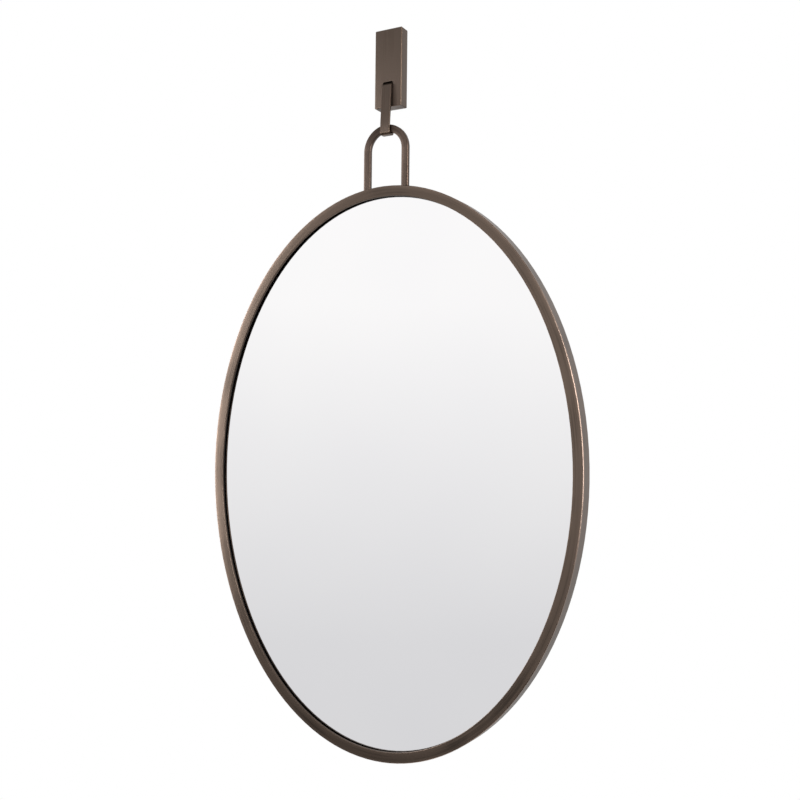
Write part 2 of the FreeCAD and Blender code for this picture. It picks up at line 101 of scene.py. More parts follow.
def linear(code: str) -> Colour:
    """Turn an sRGB hex colour to linear light.

    Args:
        code: Six hex digits, with or without a leading hash.

    Returns:
        Linear red, green, blue and an alpha of 1.
    """
    digits = code.lstrip("#")
    channels = [int(digits[start : start + 2], 16) / 255 for start in (0, 2, 4)]
    light = [c / 12.92 if c <= 0.04045 else ((c + 0.055) / 1.055) ** 2.4 for c in channels]
    return (*light, 1.0)


def grey(level: float) -> Colour:
    """Neutral linear colour of one level."""
    return (level, level, level, 1.0)


def per_metre(size_mm: float) -> float:
    """Texture scale that repeats about once in a real size given in millimetres."""
    return 1.0 / (size_mm * MM)


def add_node(
    tree: bpy.types.NodeTree,
    kind: str,
    links: dict[str | int, bpy.types.NodeSocket] | None = None,
    values: dict[str | int, object] | None = None,
    stops: Stops = (),
    **settings: object,
) -> bpy.types.Node:
    """Add a node with its settings, socket values, incoming links and ramp stops.

    Args:
        tree: Node tree that gets the node.
        kind: Node type, such as ShaderNodeTexNoise.
        links: Input socket to the output socket that feeds it.
        values: Input socket to its fixed value.
        stops: Place and colour of each stop of a colour ramp, in order.
        **settings: Node properties.

    Returns:
        The new node.
    """
    node = tree.nodes.new(kind)
    for name, value in settings.items():
        setattr(node, name, value)
    for socket, value in (values or {}).items():
        node.inputs[socket].default_value = value
    for socket, source in (links or {}).items():
        tree.links.new(source, node.inputs[socket])
    if stops:
        band = node.color_ramp.elements
        while len(band) < len(stops):
            band.new(0.5)
        for stop, (place, colour) in zip(band, stops):
            stop.position = place
            stop.color = colour
    return node


@dataclass(frozen=True)
class Finish:
    """A surface finish with its name and slot."""

    name: str
    slot: Slot

    def build(self) -> bpy.types.Material:
        """Make the material, with its shader fed by this finish's own nodes.

        Returns:
            The material.
        """
        material = bpy.data.materials.new(self.name)
        material.use_nodes = True
        tree = material.node_tree
        tree.nodes.clear()
        shader = add_node(tree, "ShaderNodeBsdfPrincipled")
        add_node(tree, "ShaderNodeOutputMaterial", {"Surface": shader.outputs["BSDF"]})
        self.dress(tree, shader)
        return material

    def dress(self, tree: bpy.types.NodeTree, shader: bpy.types.Node) -> None:
        """Feed the shader. Each finish has its own way."""
        raise NotImplementedError


@dataclass(frozen=True)
class RubbedBronze(Finish):
    """Darkened bronze on steel, brushed satin along each piece, its edges copper from wear and painted highlight.

    The grain spreads a highlight across itself, so the oval is pale at its sides and dark above and below.
    Real grain is about 0.2 mm wide. It is drawn coarser, so that it shows.
    """

    brush: Brush = Brush.UPRIGHT
    middle: Point = (0.0, 0.0, 0.0)
    reach: tuple[float, float] = (1.0, 1.0)
    coat: str = "#61544b"
    deep: str = "#4e443d"
    # Pale copper that the edges wear to, light enough to also paint their highlight.
    copper_wear_and_highlight: str = "#c8b0a0"
    cloud_mm: float = 70.0
    grain_mm: float = 1.6
    streak_mm: float = 120.0
    roughness: float = 0.34
    roughness_swing: float = 0.05
    relief: float = 0.04
    relief_mm: float = 0.02
    stretch: float = 0.75
    # Painted highlight: strength and reach of a pale band fading in from the outer front ridge.
    painted_highlight: float = 0.0
    painted_highlight_mm: float = 5.0
    front: float = 0.0

    def lay(
        self, tree: bpy.types.NodeTree, place: bpy.types.NodeSocket
    ) -> tuple[bpy.types.NodeSocket, bpy.types.NodeSocket]:
        """Work out which way the grain runs at each place.

        Args:
            tree: Material's node tree.
            place: Place on the object.

        Returns:
            Direction across the grain, and distance across it in metres.
        """
        facing = add_node(tree, "ShaderNodeNewGeometry").outputs["Normal"]
        if self.brush is Brush.UPRIGHT:
            across = add_node(tree, "ShaderNodeVectorMath", {1: facing}, {0: NEAR_UP}, operation="CROSS_PRODUCT")
            return across.outputs["Vector"], add_node(tree, "ShaderNodeSeparateXYZ", {0: place}).outputs["X"]
        centred = add_node(tree, "ShaderNodeVectorMath", {0: place}, {1: self.middle}, operation="SUBTRACT")
        if self.brush is Brush.ARCH:
            # The legs below the arch's middle run straight down.
            centred = add_node(
                tree,
                "ShaderNodeVectorMath",
                {0: centred.outputs["Vector"]},
                {1: (-1.0, 0.0, 0.0)},
                operation="MAXIMUM",
            )
        wide, high = self.reach
        evening = {1: (1.0, 0.0, wide / high)}
        even = add_node(tree, "ShaderNodeVectorMath", {0: centred.outputs["Vector"]}, evening, operation="MULTIPLY")
        outward = add_node(tree, "ShaderNodeVectorMath", {0: even.outputs["Vector"]}, evening, operation="MULTIPLY")
        along = add_node(
            tree,
            "ShaderNodeVectorMath",
            {0: outward.outputs["Vector"]},
            {1: (0.0, 1.0, 0.0)},
            operation="CROSS_PRODUCT",
        )
        across = add_node(
            tree, "ShaderNodeVectorMath", {0: along.outputs["Vector"], 1: facing}, operation="CROSS_PRODUCT"
        )
        span = add_node(tree, "ShaderNodeVectorMath", {0: even.outputs["Vector"]}, operation="LENGTH")
        return across.outputs["Vector"], span.outputs["Value"]

    def painted_ridge_highlight(
        self, tree: bpy.types.NodeTree, span: bpy.types.NodeSocket, depth: bpy.types.NodeSocket
    ) -> bpy.types.NodeSocket:
        """Paint a highlight fading from the outer front ridge over the two faces that meet there.

        Args:
            tree: Material's node tree.
            span: Distance across the grain.
            depth: Place along Y.

        Returns:
            Share of the painted highlight.
        """
        inward = add_node(tree, "ShaderNodeMath", {1: span}, {0: self.reach[0]}, operation="SUBTRACT")
        behind = add_node(tree, "ShaderNodeMath", {0: depth}, {1: self.front}, operation="SUBTRACT")
        away = add_node(
            tree, "ShaderNodeMath", {0: inward.outputs["Value"], 1: behind.outputs["Value"]}, operation="MAXIMUM"
        )
        share = add_node(
            tree,
            "ShaderNodeMapRange",
            {"Value": away.outputs["Value"]},
            {"From Max": self.painted_highlight_mm * MM, "To Min": self.painted_highlight, "To Max": 0.0},
        )
        return share.outputs["Result"]

    def dress(self, tree: bpy.types.NodeTree, shader: bpy.types.Node) -> None:
        """Cloudy dark patina, streaks along the grain, and copper at the edges from wear and painted highlight,
        plus a painted highlight band by the outer front ridge where one is set.

        Args:
            tree: Material's node tree.
            shader: Principled shader to feed.
        """
        place = add_node(tree, "ShaderNodeTexCoord").outputs["Object"]
        across, span = self.lay(tree, place)
        axes = add_node(tree, "ShaderNodeSeparateXYZ", {0: place})
        spread = add_node(tree, "ShaderNodeMath", {0: span, 1: axes.outputs["Y"]}, operation="ADD")
        run = add_node(
            tree, "ShaderNodeCombineXYZ", {0: axes.outputs["X"], 1: spread.outputs["Value"], 2: axes.outputs["Z"]}
        )
        drawn = add_node(
            tree,
            "ShaderNodeVectorMath",
            {0: run.outputs["Vector"]},
            {1: (per_metre(self.streak_mm), per_metre(self.grain_mm), per_metre(self.streak_mm))},
            operation="MULTIPLY",
        )
        grain = add_node(
            tree, "ShaderNodeTexNoise", {"Vector": drawn.outputs["Vector"]}, {"Scale": 1.0, "Detail": 2.0}
        )
        cloud = add_node(
            tree, "ShaderNodeTexNoise", {"Vector": place}, {"Scale": per_metre(self.cloud_mm), "Detail": 4.0}
        )
        tone = add_node(tree, "ShaderNodeMath", {0: grain.outputs["Fac"], 1: cloud.outputs["Fac"]}, operation="ADD")
        patina = add_node(
            tree,
            "ShaderNodeValToRGB",
            {"Fac": tone.outputs["Value"]},
            stops=[(0.72, linear(self.deep)), (1.0, linear(self.coat))],
        )
        edge = add_node(tree, "ShaderNodeAttribute", attribute_name=EDGE_MARK)
        patchy = add_node(
            tree,
            "ShaderNodeMapRange",
            {"Value": cloud.outputs["Fac"]},
            {"From Min": 0.3, "From Max": 0.6, "To Min": 0.45, "To Max": 0.95},
        )
        wear_and_highlight = add_node(
            tree, "ShaderNodeMath", {0: edge.outputs["Fac"], 1: patchy.outputs["Result"]}, operation="MULTIPLY"
        )
        # Painted highlight beside the outer front ridge, laid over the edge wear.
        if self.painted_highlight:
            ridge_highlight = self.painted_ridge_highlight(tree, span, axes.outputs["Y"])
            wear_and_highlight = add_node(tree, "ShaderNodeMath", {0: wear_and_highlight.outputs["Value"], 1: ridge_highlight}, operation="MAXIMUM")
        # Edge wear and painted highlight mixed into the patina.
        colour = add_node(
            tree,
            "ShaderNodeMix",
            {0: wear_and_highlight.outputs["Value"], 6: patina.outputs["Color"]},
            {7: linear(self.copper_wear_and_highlight)},
            data_type="RGBA",
        )
        satin = add_node(
            tree,
            "ShaderNodeMapRange",
            {"Value": grain.outputs["Fac"]},
            {"To Min": self.roughness - self.roughness_swing, "To Max": self.roughness + self.roughness_swing},
        )
        bump = add_node(
            tree,
            "ShaderNodeBump",
            {"Height": grain.outputs["Fac"]},
            {"Strength": self.relief, "Distance": self.relief_mm * MM},
        )
        shader.inputs["Metallic"].default_value = 1.0
        shader.inputs["Anisotropic"].default_value = self.stretch
        tree.links.new(across, shader.inputs["Tangent"])
        tree.links.new(colour.outputs[2], shader.inputs["Base Color"])
        tree.links.new(satin.outputs["Result"], shader.inputs["Roughness"])
        tree.links.new(bump.outputs["Normal"], shader.inputs["Normal"])


@dataclass(frozen=True)
class SilveredGlass(Finish):
    """Float glass with a silvered back: clear, sharp and a touch cool."""

    silver: str = "#fcfbfb"
    edge: str = "#f9f8f9"
    drift_mm: float = 220.0

    def dress(self, tree: bpy.types.NodeTree, shader: bpy.types.Node) -> None:
        """Sharp silver with a very slow drift in tint, as float glass has.

        Args:
            tree: Material's node tree.
            shader: Principled shader to feed.
        """
        place = add_node(tree, "ShaderNodeTexCoord").outputs["Object"]
        drift = add_node(
            tree, "ShaderNodeTexNoise", {"Vector": place}, {"Scale": per_metre(self.drift_mm), "Detail": 1.0}
        )
        tint = add_node(
            tree,
            "ShaderNodeValToRGB",
            {"Fac": drift.outputs["Fac"]},
            stops=[(0.2, linear(self.edge)), (0.8, linear(self.silver))],
        )
        tree.links.new(tint.outputs["Color"], shader.inputs["Base Color"])
        shader.inputs["Metallic"].default_value = 1.0
        shader.inputs["Roughness"].default_value = 0.0


@dataclass(frozen=True)
class PlatedSteel(Finish):
    """Sheet or turned steel with a thin plated or blackened skin: faint crystals and a dull shine."""

    bright: str = "#b9bbbc"
    dull: str = "#8d9092"
    spangle_mm: float = 6.0
    scratch_mm: float = 0.5
    roughness: float = 0.34
    smoother: float = 0.06
    rougher: float = 0.08

    def dress(self, tree: bpy.types.NodeTree, shader: bpy.types.Node) -> None:
        """Faint crystal patches, and a fine rolled grain that breaks the gloss.

        Args:
            tree: Material's node tree.
            shader: Principled shader to feed.
        """
        place = add_node(tree, "ShaderNodeTexCoord").outputs["Object"]
        patch = add_node(
            tree, "ShaderNodeTexVoronoi", {"Vector": place}, {"Scale": per_metre(self.spangle_mm)}, feature="F1"
        )
        skin = add_node(
            tree,
            "ShaderNodeValToRGB",
            {"Fac": patch.outputs["Color"]},
            stops=[(0.1, linear(self.dull)), (0.9, linear(self.bright))],
        )
        grain = add_node(
            tree, "ShaderNodeTexNoise", {"Vector": place}, {"Scale": per_metre(self.scratch_mm), "Detail": 2.0}
        )
        gloss = add_node(
            tree,
            "ShaderNodeMapRange",
            {"Value": grain.outputs["Fac"]},
            {"To Min": self.roughness - self.smoother, "To Max": self.roughness + self.rougher},
        )
        shader.inputs["Metallic"].default_value = 1.0
        tree.links.new(skin.outputs["Color"], shader.inputs["Base Color"])
        tree.links.new(gloss.outputs["Result"], shader.inputs["Roughness"])


@dataclass(frozen=True)
class SpeckledMatte(Finish):
    """Matte body with a two-colour speckle: pressed board, foam or moulded rubber."""

    ground: str = "#8a6a4b"
    fleck: str = "#6b4f36"
    fleck_mm: float = 1.5
    roughness: float = 0.8
    relief_mm: float = 0.05
    relief: float = 0.35
    tone_span: float = 90.0
    tone_share: float = 0.2

    def dress(self, tree: bpy.types.NodeTree, shader: bpy.types.Node) -> None:
        """Fine flecks in colour and height over a slow change of tone.

        Args:
            tree: Material's node tree.
            shader: Principled shader to feed.
        """
        place = add_node(tree, "ShaderNodeTexCoord").outputs["Object"]
        fleck = add_node(
            tree,
            "ShaderNodeTexNoise",
            {"Vector": place},
            {"Scale": per_metre(self.fleck_mm), "Detail": 6.0, "Roughness": 0.7},
        )
        tone = add_node(
            tree,
            "ShaderNodeTexNoise",
            {"Vector": place},
            {"Scale": per_metre(self.tone_span * self.fleck_mm), "Detail": 2.0},
        )
        both = add_node(
            tree,
            "ShaderNodeMath",
            {0: tone.outputs["Fac"], 2: fleck.outputs["Fac"]},
            {1: self.tone_share},
            operation="MULTIPLY_ADD",
        )
        colour = add_node(
            tree,
            "ShaderNodeValToRGB",
            {"Fac": both.outputs["Value"]},
            stops=[(0.42, linear(self.fleck)), (0.74, linear(self.ground))],
        )
        bump = add_node(
            tree,
            "ShaderNodeBump",
            {"Height": fleck.outputs["Fac"]},
            {"Strength": self.relief, "Distance": self.relief_mm * MM},
        )
        shader.inputs["Roughness"].default_value = self.roughness
        tree.links.new(colour.outputs["Color"], shader.inputs["Base Color"])
        tree.links.new(bump.outputs["Normal"], shader.inputs["Normal"])


FINISHES: dict[Slot, Finish] = {
    Slot.BRONZE: RubbedBronze("rubbed_bronze_steel", Slot.BRONZE),
    Slot.SILVER: SilveredGlass("silvered_float_glass", Slot.SILVER),
    Slot.ZINC: PlatedSteel("zinc_plated_steel", Slot.ZINC),
    Slot.BLACK: PlatedSteel(
        "black_oxide_steel",
        Slot.BLACK,
        bright="#2b2b2d",
        dull="#1d1d1f",
        spangle_mm=4.0,
        scratch_mm=0.4,
        roughness=0.42,
    ),
    Slot.BOARD: SpeckledMatte("sanded_fibreboard", Slot.BOARD),
    Slot.FOAM: SpeckledMatte(
        "black_foam_tape",
        Slot.FOAM,
        ground="#202021",
        fleck="#121213",
        fleck_mm=0.6,
        roughness=0.9,
        relief_mm=0.08,
    ),
    Slot.RUBBER: SpeckledMatte(
        "moulded_black_rubber",
        Slot.RUBBER,
        ground="#2a2a2b",
        fleck="#1c1c1d",
        fleck_mm=0.9,
        roughness=0.62,
        relief_mm=0.03,
    ),
}


def deselect_all() -> None:
    """Leave edit mode and deselect every object, so that an operator acts on new work only."""
    if bpy.context.object and bpy.context.object.mode != "OBJECT":
        bpy.ops.object.mode_set(mode="OBJECT")
    bpy.ops.object.select_all(action="DESELECT")


def make_active(piece: bpy.types.Object) -> None:
    """Select one object alone and make it active.

    Args:
        piece: Object to work on.
    """
    deselect_all()
    piece.select_set(True)
    bpy.context.view_layer.objects.active = piece


def wear(piece: bpy.types.Object, material: bpy.types.Material) -> None:
    """Give an object one material all over."""
    piece.data.materials.clear()
    piece.data.materials.append(material)


def merged_copy(node: str, name: str) -> bpy.types.Object:
    """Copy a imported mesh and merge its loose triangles.

    Args:
        node: Solid's node name.
        name: Copy's name.

    Returns:
        The copy, selected and active.
    """
    piece = bpy.data.objects.new(name, frame["nodes"][node].data.copy())
    bpy.context.scene.collection.objects.link(piece)
    make_active(piece)
    bpy.ops.object.mode_set(mode="EDIT")
    bpy.ops.mesh.select_all(action="SELECT")
    bpy.ops.mesh.customdata_custom_splitnormals_clear()
    bpy.ops.mesh.remove_doubles(threshold=MERGE_MM * MM)
    bpy.ops.object.mode_set(mode="OBJECT")
    return piece


def pick_faces(piece: bpy.types.Object, wanted: Callable[[bpy.types.MeshPolygon], bool]) -> None:
    """Enter edit mode with only the wanted faces selected.

    Args:
        piece: Active object.
        wanted: Test of one face.
    """
    bpy.ops.object.mode_set(mode="EDIT")
    bpy.ops.mesh.select_mode(type="FACE")
    bpy.ops.mesh.select_all(action="DESELECT")
    bpy.ops.object.mode_set(mode="OBJECT")
    for face in piece.data.polygons:
        face.select = wanted(face)
    bpy.ops.object.mode_set(mode="EDIT")


def carve(piece: bpy.types.Object, cutter: bpy.types.Object) -> None:
    """Cut one object's shape out of another and throw the cutter away.

    Args:
        piece: Object to cut.
        cutter: Shape to take out of it.
    """
    make_active(piece)
    bpy.ops.object.modifier_add(type="BOOLEAN")
    cut = piece.modifiers[-1]
    cut.operation = "DIFFERENCE"
    cut.object = cutter
    bpy.ops.object.modifier_apply(modifier=cut.name)
    make_active(cutter)
    bpy.ops.object.delete()
    make_active(piece)


def solid_boxes(node: str) -> list[tuple[Vector, Vector]]:
    """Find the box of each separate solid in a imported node.

    Args:
        node: Node's name.

    Returns:
        Lowest and highest corner of each solid.
    """
    merged_copy(node, f"{node}_finder")
    bpy.ops.object.mode_set(mode="EDIT")
    bpy.ops.mesh.select_all(action="SELECT")
    bpy.ops.mesh.separate(type="LOOSE")
    bpy.ops.object.mode_set(mode="OBJECT")
    boxes = []
    for solid in bpy.context.selected_objects:
        columns = list(zip(*(vertex.co for vertex in solid.data.vertices)))
        boxes.append((Vector([min(column) for column in columns]), Vector([max(column) for column in columns])))
    bpy.ops.object.delete()
    return boxes


def stamp(pattern: bpy.types.Object, places: list[Vector], name: str) -> bpy.types.Object:
    """Copy a modelled piece to each place and join the copies.

    Args:
        pattern: Piece modelled at the origin.
        places: Where the copies go.
        name: Name of the joined piece.

    Returns:
        The joined piece, with its places in its mesh.
    """
    copies = []
    for place in places:
        copy = pattern.copy()
        copy.data = pattern.data.copy()
        copy.location = place
        bpy.context.scene.collection.objects.link(copy)
        copies.append(copy)
    make_active(pattern)
    bpy.ops.object.delete()
    make_active(copies[0])
    for copy in copies:
        copy.select_set(True)
    bpy.ops.object.transform_apply(location=True, rotation=True, scale=True)
    bpy.ops.object.join()
    copies[0].name = name
    return copies[0]


def install(piece: bpy.types.Object, body: Body, node: str, material: bpy.types.Material) -> None:
    """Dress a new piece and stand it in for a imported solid.

    Args:
        piece: New piece.
        body: Body that it moves with.
        node: Node that it replaces.
        material: Finish.
    """
    wear(piece, material)
    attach(piece, body.value)
    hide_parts(node)
    LOG.info("modelled %s", piece.name)


@dataclass
class SolidsDresser:
    """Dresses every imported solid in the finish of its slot."""

    materials: dict[Slot, bpy.types.Material] = field(default_factory=dict)

    def mix(self) -> None:
        """Make each finish once."""
        for slot, finish in FINISHES.items():
            self.materials[slot] = finish.build()

    def dress(self) -> None:
        """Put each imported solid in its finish."""
        for entry in frame["record"]["subparts"]:
            wear(frame["nodes"][entry["node"]], self.materials[Slot(entry["material_slot"])])
            LOG.info("dressed %s", entry["node"])


@dataclass
class EasedSteel:
    """A bronze piece whose packed edges are shaded round and marked for the finish's copper wear and painted
    highlight.
    """

    node: str
    body: Body
    finish: RubbedBronze
    bevel_mm: float = 0.0
    bevel_steps: int = 2
    flat_deg: float = 1.0
    corner_deg: float = 60.0
    sharp_deg: float = 50.0
    face_weight: int = 100
    slope: tuple[float, float] = (0.2, 0.97)
    inner_wear_and_highlight: float = 0.25

    def break_corners(self, piece: bpy.types.Object) -> None:
        """Round the square corners of a piece whose solid has none.

        Args:
            piece: Merged copy of the solid.
        """
        bpy.ops.object.mode_set(mode="EDIT")
        bpy.ops.mesh.select_all(action="SELECT")
        bpy.ops.mesh.dissolve_limited(angle_limit=math.radians(self.flat_deg))
        bpy.ops.object.mode_set(mode="OBJECT")
        bpy.ops.object.modifier_add(type="BEVEL")
        bevel = piece.modifiers[-1]
        bevel.width = self.bevel_mm * MM
        bevel.segments = self.bevel_steps
        bevel.limit_method = "ANGLE"
        bevel.angle_limit = math.radians(self.corner_deg)
        bpy.ops.object.modifier_apply(modifier=bevel.name)

    def shade_round(self, piece: bpy.types.Object) -> None:
        """Shade narrow edge faces as rounds and keep broad faces flat.

        Args:
            piece: Copy to shade.
        """
        bpy.ops.object.shade_smooth_by_angle(angle=math.radians(self.sharp_deg))
        bpy.ops.object.modifier_add(type="WEIGHTED_NORMAL")
        weigh = piece.modifiers[-1]
        weigh.weight = self.face_weight
        weigh.keep_sharp = True
        bpy.ops.object.modifier_apply(modifier=weigh.name)

    def mark_edges(self, piece: bpy.types.Object) -> None:
        """Mark the sloping faces between front and sides for copper, outer ones most: hands and cloths wear these
        edges, and the copper also paints their highlight.

        Args:
            piece: Copy to mark.
        """
        mark = piece.data.attributes.new(EDGE_MARK, "FLOAT", "FACE")
        least, most = self.slope
        middle = Vector(self.finish.middle)
        for face in piece.data.polygons:
            outward = (face.center - middle) * Vector((1.0, 0.0, 1.0))
            # Outer edges take the full wear and painted highlight, inner ones a share.
            edge_wear_and_highlight = 1.0 if outward.dot(face.normal) > 0.0 else self.inner_wear_and_highlight
            mark.data[face.index].value = edge_wear_and_highlight if least < abs(face.normal.y) < most else 0.0

    def build(self) -> None:
        """Make the piece, dress it and stand it in for its solid."""
        piece = merged_copy(self.node, f"{self.node}_eased")
        if self.bevel_mm:
            self.break_corners(piece)
        self.shade_round(piece)
        self.mark_edges(piece)
        install(piece, self.body, self.node, self.finish.build())


@dataclass
class MirrorPane:
    """The glass, with its face drawn in towards the silver, which is seen through the pane's thickness."""

    node: str = "mirror_glass"
    seen_depth_mm: float = 1.1
    smooth_deg: float = 30.0

    def build(self, material: bpy.types.Material) -> bpy.types.Object:
        """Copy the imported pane, draw its face in and stand it in for the solid.

        Args:
            material: Silvered finish.

        Returns:
            The pane.
        """
        piece = merged_copy(self.node, f"{self.node}_silvered")
        pick_faces(piece, lambda face: face.normal.y < -SQUARE_ON)
        bpy.ops.transform.translate(value=(0.0, self.seen_depth_mm * MM, 0.0))
        bpy.ops.object.mode_set(mode="OBJECT")
        bpy.ops.object.shade_smooth_by_angle(angle=math.radians(self.smooth_deg))
        install(piece, Body.MIRROR, self.node, material)
        return piece


@dataclass
class PanScrews:
    """Cross-recessed pan-head screws that hold the board to the frame's tabs."""

    node: str = "tab_screws"
    head_mm: float = 7.0
    head_tall_mm: float = 2.0
    dome_mm: float = 1.0
    dome_steps: int = 4
    shank_mm: float = 3.5
    shank_long_mm: float = 6.0
    tip_mm: float = 1.5
    tip_share: float = 0.2
    recess_mm: Point = (3.8, 0.9, 2.4)
    sides: int = 32
    smooth_deg: float = 35.0

    def model(self) -> bpy.types.Object:
        """Model one screw with its head's top at the origin, facing the wall.

        Returns:
            The screw.
        """
        deselect_all()
        bpy.ops.mesh.primitive_cylinder_add(
            vertices=self.sides,
            radius=self.head_mm * MM / 2,
            depth=self.head_tall_mm * MM,
            location=(0.0, 0.0, -self.head_tall_mm * MM / 2),
        )
        screw = bpy.context.object
        bpy.ops.object.transform_apply(location=True)
        pick_faces(screw, lambda face: face.normal.z > SQUARE_ON)
        bpy.ops.mesh.bevel(offset=self.dome_mm * MM, segments=self.dome_steps)
        bpy.ops.object.mode_set(mode="OBJECT")
        pick_faces(screw, lambda face: face.normal.z < -SQUARE_ON)
        bpy.ops.mesh.inset(thickness=(self.head_mm - self.shank_mm) * MM / 2)
        for length_mm in (self.shank_long_mm - self.tip_mm, self.tip_mm):
            bpy.ops.mesh.extrude_region_move(TRANSFORM_OT_translate={"value": (0.0, 0.0, -length_mm * MM)})
        bpy.ops.transform.resize(value=(self.tip_share, self.tip_share, 1.0))
        bpy.ops.object.mode_set(mode="OBJECT")
        for turn in (0.0, math.pi / 2):
            deselect_all()
            bpy.ops.mesh.primitive_cube_add(
                size=1.0, rotation=(0.0, 0.0, turn), scale=[side * MM for side in self.recess_mm]
            )
            carve(screw, bpy.context.object)
        screw.rotation_euler = (-math.pi / 2, 0.0, 0.0)
        bpy.ops.object.transform_apply(rotation=True)
        bpy.ops.object.shade_smooth_by_angle(angle=math.radians(self.smooth_deg))
        return screw

    def build(self, material: bpy.types.Material) -> None:
        """Put a screw at each tab.

        Args:
            material: Finish of the screws.
        """
        boxes = solid_boxes(self.node)
        tops = [Vector(((low.x + high.x) / 2, high.y, (low.z + high.z) / 2)) for low, high in boxes]
        install(stamp(self.model(), tops, "pan_screws"), Body.MIRROR, self.node, material)


@dataclass
class WallBumpers:
    """Domed rubber bumpers that rest on the wall."""

    node: str = "wall_bumpers"
    base_mm: float = 16.0
    tip_mm: float = 12.0
    tall_mm: float = 8.7
    dome_mm: float = 2.6
    dome_steps: int = 5
    rim_mm: float = 1.0
    dimple_mm: float = 0.4
    tip_square_on: float = 0.99
    sides: int = 40
    smooth_deg: float = 40.0

    def model(self) -> bpy.types.Object:
        """Model one bumper standing on the origin, facing the wall.

        Returns:
            The bumper.
        """
        deselect_all()
        bpy.ops.mesh.primitive_cylinder_add(
            vertices=self.sides,
            radius=self.base_mm * MM / 2,
            depth=self.tall_mm * MM,
            location=(0.0, 0.0, self.tall_mm * MM / 2),
        )
        bumper = bpy.context.object
        bpy.ops.object.transform_apply(location=True)
        pick_faces(bumper, lambda face: face.normal.z > SQUARE_ON)
        slim = self.tip_mm / self.base_mm
        bpy.ops.transform.resize(value=(slim, slim, 1.0))
        bpy.ops.mesh.bevel(offset=self.dome_mm * MM, segments=self.dome_steps)
        bpy.ops.object.mode_set(mode="OBJECT")
        pick_faces(bumper, lambda face: face.normal.z > self.tip_square_on)
        bpy.ops.mesh.inset(thickness=self.rim_mm * MM)
        bpy.ops.mesh.inset(thickness=self.dimple_mm * MM)
        bpy.ops.transform.translate(value=(0.0, 0.0, -self.dimple_mm * MM))
        bpy.ops.object.mode_set(mode="OBJECT")
        bumper.rotation_euler = (-math.pi / 2, 0.0, 0.0)
        bpy.ops.object.transform_apply(rotation=True)
        bpy.ops.object.shade_smooth_by_angle(angle=math.radians(self.smooth_deg))
        return bumper

    def build(self, material: bpy.types.Material) -> None:
        """Put a bumper at each place on the board.

        Args:
            material: Finish of the bumpers.
        """
        boxes = solid_boxes(self.node)
        feet = [Vector(((low.x + high.x) / 2, low.y, (low.z + high.z) / 2)) for low, high in boxes]
        install(stamp(self.model(), feet, "domed_bumpers"), Body.MIRROR, self.node, material)


@dataclass
class GrubScrews:
    """Hexagon-socket grub screws in the top of the wall block."""

    node: str = "block_screws"
    thread_mm: float = 4.0
    long_mm: float = 6.0
    key_mm: float = 2.0
    socket_mm: float = 2.2
    chamfer_mm: float = 0.4
    sides: int = 32
    key_sides: int = 6
    smooth_deg: float = 30.0

    def model(self) -> bpy.types.Object:
        """Model one grub screw hanging from the origin.

        Returns:
            The screw.
        """
        deselect_all()
        bpy.ops.mesh.primitive_cylinder_add(
            vertices=self.sides,
            radius=self.thread_mm * MM / 2,
            depth=self.long_mm * MM,
            location=(0.0, 0.0, -self.long_mm * MM / 2),
        )
        screw = bpy.context.object
        bpy.ops.object.transform_apply(location=True)
        pick_faces(screw, lambda face: abs(face.normal.z) > SQUARE_ON)
        bpy.ops.mesh.bevel(offset=self.chamfer_mm * MM, segments=1)
        bpy.ops.object.mode_set(mode="OBJECT")
        deselect_all()
        bpy.ops.mesh.primitive_cylinder_add(
            vertices=self.key_sides, radius=self.key_mm * MM / math.sqrt(3.0), depth=2 * self.socket_mm * MM
        )
        carve(screw, bpy.context.object)
        bpy.ops.object.shade_smooth_by_angle(angle=math.radians(self.smooth_deg))
        return screw

    def build(self, material: bpy.types.Material) -> None:
        """Put a grub screw in each hole.

        Args:
            material: Finish of the screws.
        """
        boxes = solid_boxes(self.node)
        tops = [Vector(((low.x + high.x) / 2, (low.y + high.y) / 2, high.z)) for low, high in boxes]
        install(stamp(self.model(), tops, "grub_screws"), Body.BRACKET, self.node, material)


def bronze_pieces() -> list[EasedSteel]:
    """List the bronze pieces that show, each with its own run of the grain.

    Returns:
        Frame, loop, block and strap.
    """
    low, high = (Vector(corner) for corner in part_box("oval_frame"))
    oval = (high - low) / 2
    arch_low, arch_high = (Vector(corner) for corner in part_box("hanging_loop"))
    bow = (arch_high.x - arch_low.x) / 2
    hoop = RubbedBronze(
        "rubbed_bronze_hoop",
        Slot.BRONZE,
        Brush.HOOP,
        (0.0, 0.0, (low.z + high.z) / 2),
        (oval.x, oval.z),
        # Edge copper toned for the ridge's painted highlight, and a painted highlight band by the outer front
        # ridge.
        copper_wear_and_highlight="#b39b8c",
        stretch=0.6,
        painted_highlight=0.17,
        front=low.y,
    )
    arch = RubbedBronze(
        "rubbed_bronze_arch",
        Slot.BRONZE,
        Brush.ARCH,
        (0.0, 0.0, arch_high.z - bow),
        (bow, bow),
        # Coat and deep darker than the frame's: painted shade on the same bronze.
        coat="#534740",
        deep="#463b35",
        copper_wear_and_highlight="#7d6759",
    )
    upright = RubbedBronze(
        "rubbed_bronze_upright", Slot.BRONZE, coat="#5c5048", deep="#554941", copper_wear_and_highlight="#86705f"
    )
    return [
        EasedSteel("oval_frame", Body.MIRROR, hoop),
        EasedSteel("hanging_loop", Body.MIRROR, arch),
        EasedSteel("wall_block", Body.BRACKET, upright),
        EasedSteel("hanging_strap", Body.STRAP, upright, bevel_mm=0.4),
    ]


